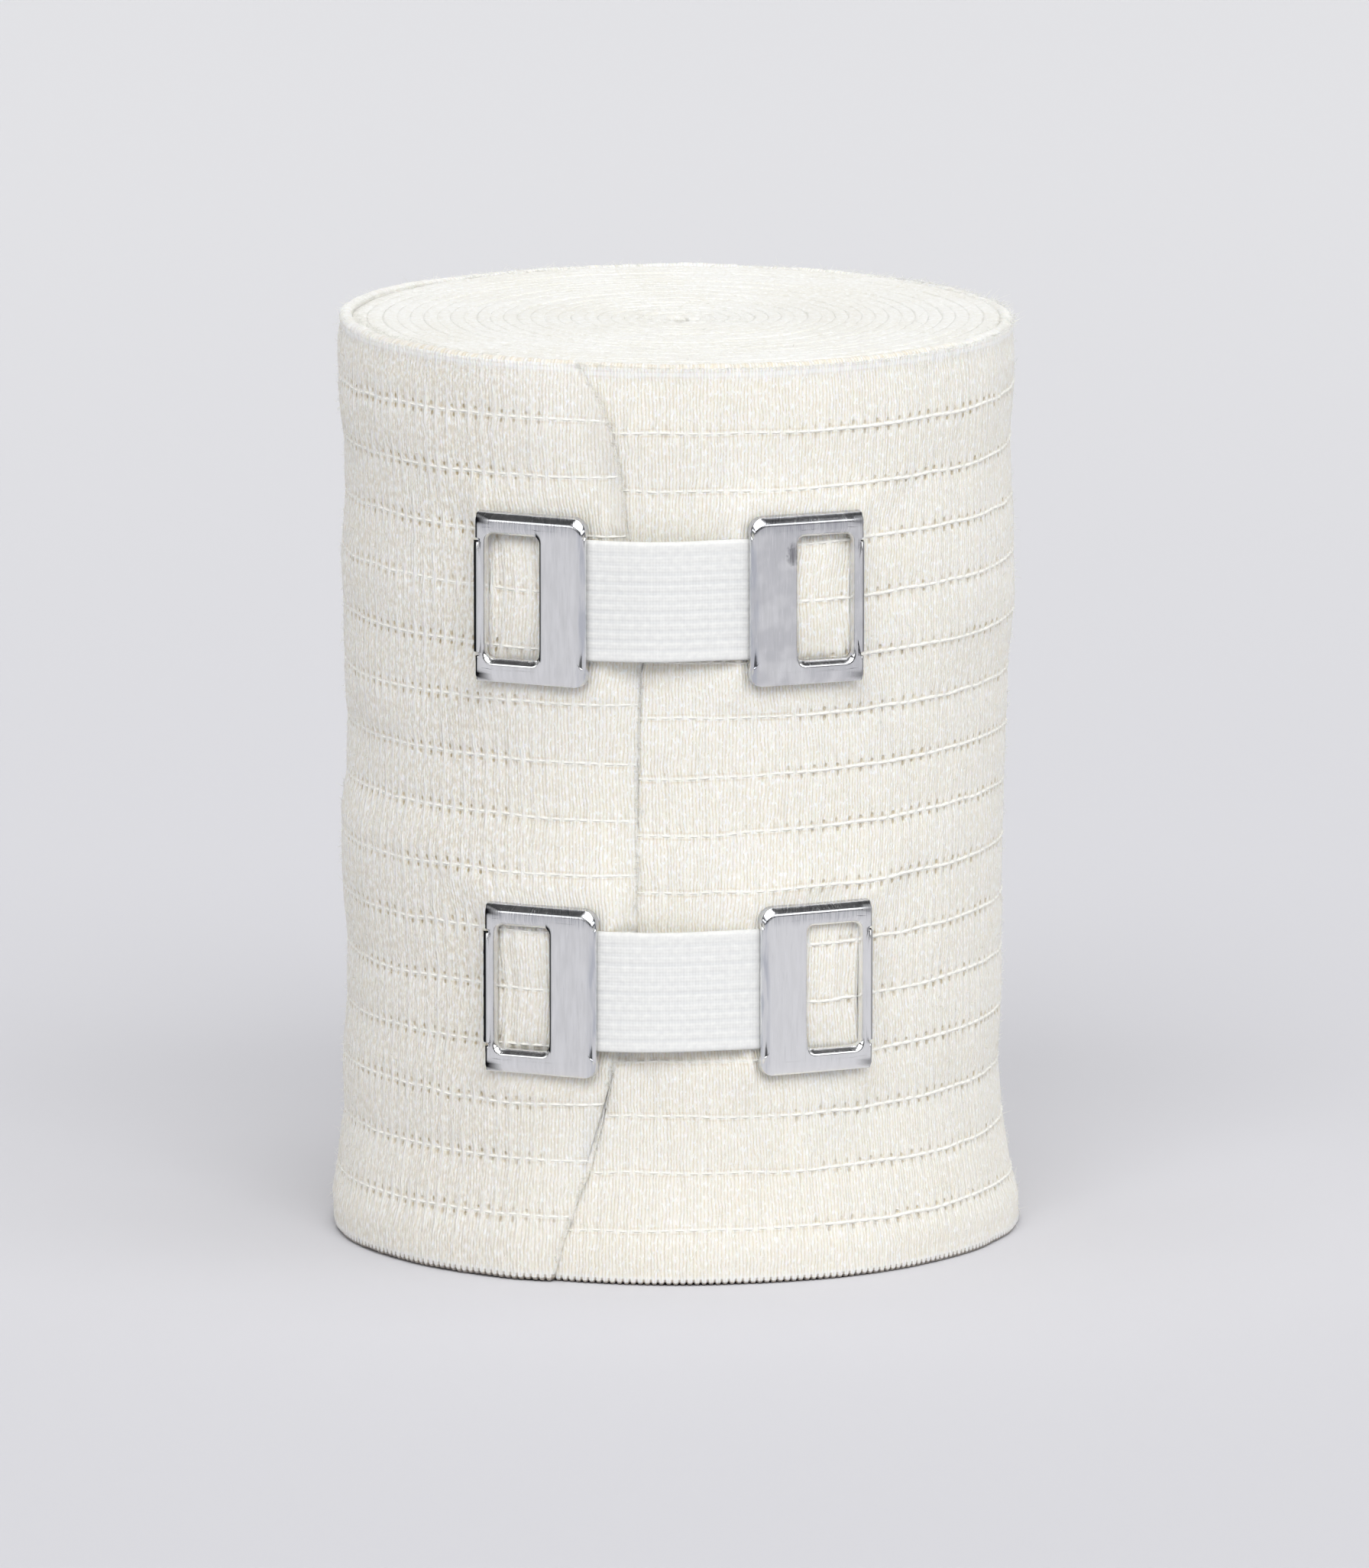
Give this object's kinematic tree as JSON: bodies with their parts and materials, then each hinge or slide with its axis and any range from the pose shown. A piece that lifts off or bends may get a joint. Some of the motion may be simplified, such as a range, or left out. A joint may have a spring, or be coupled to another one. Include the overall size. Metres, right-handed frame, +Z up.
{
  "type": "rolled support bandage with clips",
  "caption": "Elastic crepe support bandage wound into an upright roll, its loose end on the front, held by elastic clips with toothed metal end plates.",
  "frame": {"origin": "under the middle of the whole object's box, on the surface that the roll stands on", "axes": "+Z up along the roll's axis, -Y towards the front with the loose end and the clips, +X to the viewer's right"},
  "size_m": [0.075, 0.0758, 0.1007],
  "materials": {
    "crepe_cloth": "matt cream cotton crepe with upright ribs, lengthwise threads and a short fuzz",
    "clip_metal": "bright sheet metal with a fine grain along the plate, scratches and polished bent rims",
    "clip_elastic": "cool white ribbed elastic, matt"
  },
  "bodies": {
    "root": {"bandage_roll": "crepe_cloth", "clip_upper_plate_left": "clip_metal", "clip_upper_elastic": "clip_elastic", "clip_upper_plate_right": "clip_metal", "clip_lower_plate_left": "clip_metal", "clip_lower_elastic": "clip_elastic", "clip_lower_plate_right": "clip_metal"}
  },
  "joints": []
}
